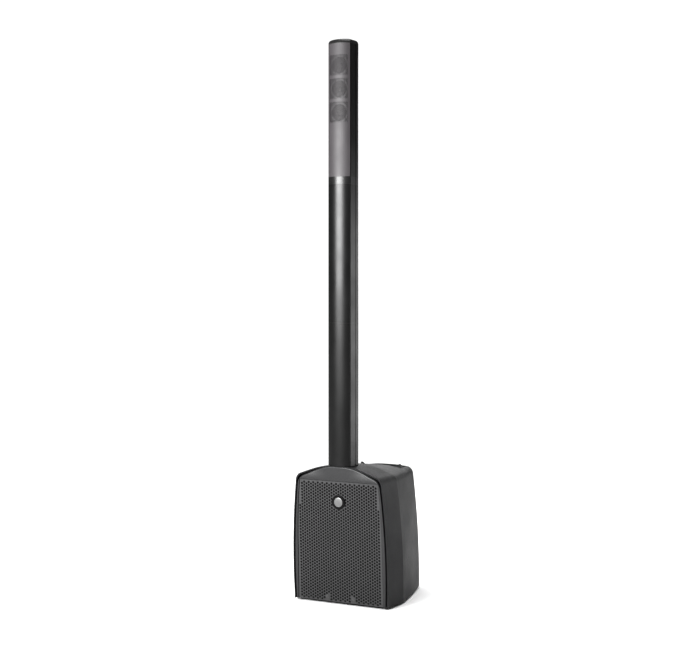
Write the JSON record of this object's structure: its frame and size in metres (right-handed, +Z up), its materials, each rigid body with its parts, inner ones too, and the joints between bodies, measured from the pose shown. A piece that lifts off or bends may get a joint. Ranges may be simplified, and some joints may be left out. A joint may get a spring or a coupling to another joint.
{
  "type": "column pa speaker",
  "caption": "Column loudspeaker for live sound: a ported powered bass base with a perforated front, and a stacked column with line drivers that plugs into its top.",
  "frame": {"origin": "on the floor, under the middle of the whole outline", "axes": "+Z up along the column, front faces -Y, +X to the right seen from the front"},
  "size_m": [0.386, 0.4327, 2.008],
  "materials": {
    "shell_plastic": "fine moulded texture, matt",
    "frame_plastic": "fine moulded texture, satin",
    "baffle_wood": "black-painted board",
    "grille_steel": "black powder coat",
    "satellite_grille_steel": "dark grey powder coat",
    "acoustic_foam": "open-cell black foam",
    "black_steel": "black oxide",
    "badge_ring_plastic": "gloss black",
    "badge_metal": "turned, satin",
    "cast_frame": "black-coated casting",
    "ferrite": "sintered ferrite",
    "zinc_steel": "zinc plated",
    "spider_cloth": "resin-treated cloth",
    "surround_rubber": "butyl rubber",
    "cone_paper": "pressed black paper",
    "copper": "enamelled copper wire",
    "black_plastic": "moulded, matt",
    "panel_metal": "black powder coat",
    "sink_aluminium": "black anodised",
    "circuit_board": "solder mask",
    "transformer_tape": "polyester tape",
    "socket_plastic": "moulded, satin",
    "switch_gloss": "gloss black",
    "led_lens": "diffusing lens",
    "knob_plastic": "soft-touch black",
    "foot_rubber": "matt rubber",
    "grip_plastic": "ribbed grip, matt",
    "column_aluminium": "black anodised, satin",
    "cap_plastic": "satin moulded",
    "ring_gloss": "gloss black"
  },
  "bodies": {
    "base": {"cabinet_shell": "shell_plastic", "handle_cup": "shell_plastic", "front_frame": "frame_plastic", "baffle_board": "baffle_wood", "front_grille": "grille_steel", "grille_foam": "acoustic_foam", "grille_screws": "black_steel", "badge_ring": "badge_ring_plastic", "badge_disc": "badge_metal", "woofer_basket": "cast_frame", "woofer_magnet": "ferrite", "woofer_yoke": "zinc_steel", "woofer_top_plate": "zinc_steel", "woofer_spider": "spider_cloth", "woofer_surround": "surround_rubber", "woofer_screws": "black_steel", "port_left": "black_plastic", "port_right": "black_plastic", "amp_panel": "panel_metal", "heat_sink": "sink_aluminium", "amp_board": "circuit_board", "power_transformer": "transformer_tape", "panel_screws": "black_steel", "iec_inlet": "socket_plastic", "switch_frame": "socket_plastic", "combo_jack_1": "socket_plastic", "combo_jack_2": "socket_plastic", "line_out": "socket_plastic", "control_pots": "black_plastic", "power_led": "led_lens", "column_socket": "black_plastic", "rubber_feet": "foot_rubber", "foot_screws": "zinc_steel"},
    "handle": {"handle_grip": "grip_plastic"},
    "knob_1": {"knob_input_1": "knob_plastic"},
    "knob_2": {"knob_input_2": "knob_plastic"},
    "knob_3": {"knob_sub_level": "knob_plastic"},
    "rocker": {"power_rocker": "switch_gloss"},
    "button": {"mode_button": "knob_plastic"},
    "woofer_moving": {"woofer_cone": "cone_paper", "woofer_dust_cap": "cone_paper", "woofer_voice_coil": "copper"},
    "lower_column": {"lower_tube": "column_aluminium", "lower_spigot": "black_plastic", "lower_collar": "black_plastic"},
    "mid_column": {"mid_tube": "column_aluminium", "mid_spigot": "black_plastic", "mid_collar": "black_plastic"},
    "satellite": {"satellite_ring": "ring_gloss", "satellite_spigot": "black_plastic", "satellite_shell": "column_aluminium", "satellite_grille": "satellite_grille_steel", "satellite_baffle": "black_plastic", "satellite_cap": "cap_plastic", "satellite_driver_1": "black_steel", "satellite_driver_2": "black_steel", "satellite_driver_3": "black_steel"},
    "cone_1": {"satellite_cone_1": "cone_paper"},
    "cone_2": {"satellite_cone_2": "cone_paper"},
    "cone_3": {"satellite_cone_3": "cone_paper"}
  },
  "joints": [
    {"name": "lower_column_lift", "type": "slide", "parent": "base", "child": "lower_column", "axis": [0, 0, 1], "range_m": [0, 0.065]},
    {"name": "mid_column_lift", "type": "slide", "parent": "lower_column", "child": "mid_column", "axis": [0, 0, 1], "range_m": [0, 0.065]},
    {"name": "satellite_lift", "type": "slide", "parent": "mid_column", "child": "satellite", "axis": [0, 0, 1], "range_m": [0, 0.065]},
    {"name": "handle_fold", "type": "hinge", "parent": "base", "child": "handle", "pos_m": [0, 0.1436, 0.446], "axis": [-1, 0, 0], "range_deg": [0, 70]},
    {"name": "knob_1_turn", "type": "hinge", "parent": "base", "child": "knob_1", "pos_m": [-0.046, 0.18818, 0.35109], "axis": [0, 0.9992, 0.041], "range_deg": [-150, 150]},
    {"name": "knob_2_turn", "type": "hinge", "parent": "base", "child": "knob_2", "pos_m": [0, 0.18818, 0.35109], "axis": [0, 0.9992, 0.041], "range_deg": [-150, 150]},
    {"name": "knob_3_turn", "type": "hinge", "parent": "base", "child": "knob_3", "pos_m": [0.046, 0.18818, 0.35109], "axis": [0, 0.9992, 0.041], "range_deg": [-150, 150]},
    {"name": "power_rock", "type": "hinge", "parent": "base", "child": "rocker", "pos_m": [0.036, 0.19917, 0.08331], "axis": [-1, 0, 0], "range_deg": [0, 16]},
    {"name": "mode_press", "type": "slide", "parent": "base", "child": "button", "axis": [0, -0.9992, -0.041], "range_m": [0, 0.002], "stiffness_N_per_m": 400, "springref_m": -0.0005},
    {"name": "woofer_excursion", "type": "slide", "parent": "base", "child": "woofer_moving", "axis": [0, -0.9992, -0.041], "range_m": [-0.004, 0.004], "stiffness_N_per_m": 3000, "deforming": ["woofer_surround", "woofer_spider"]},
    {"name": "driver_1_excursion", "type": "slide", "parent": "satellite", "child": "cone_1", "axis": [0, -1, 0], "range_m": [-0.001, 0.001], "stiffness_N_per_m": 1200},
    {"name": "driver_2_excursion", "type": "slide", "parent": "satellite", "child": "cone_2", "axis": [0, -1, 0], "range_m": [-0.001, 0.001], "stiffness_N_per_m": 1200},
    {"name": "driver_3_excursion", "type": "slide", "parent": "satellite", "child": "cone_3", "axis": [0, -1, 0], "range_m": [-0.001, 0.001], "stiffness_N_per_m": 1200}
  ]
}
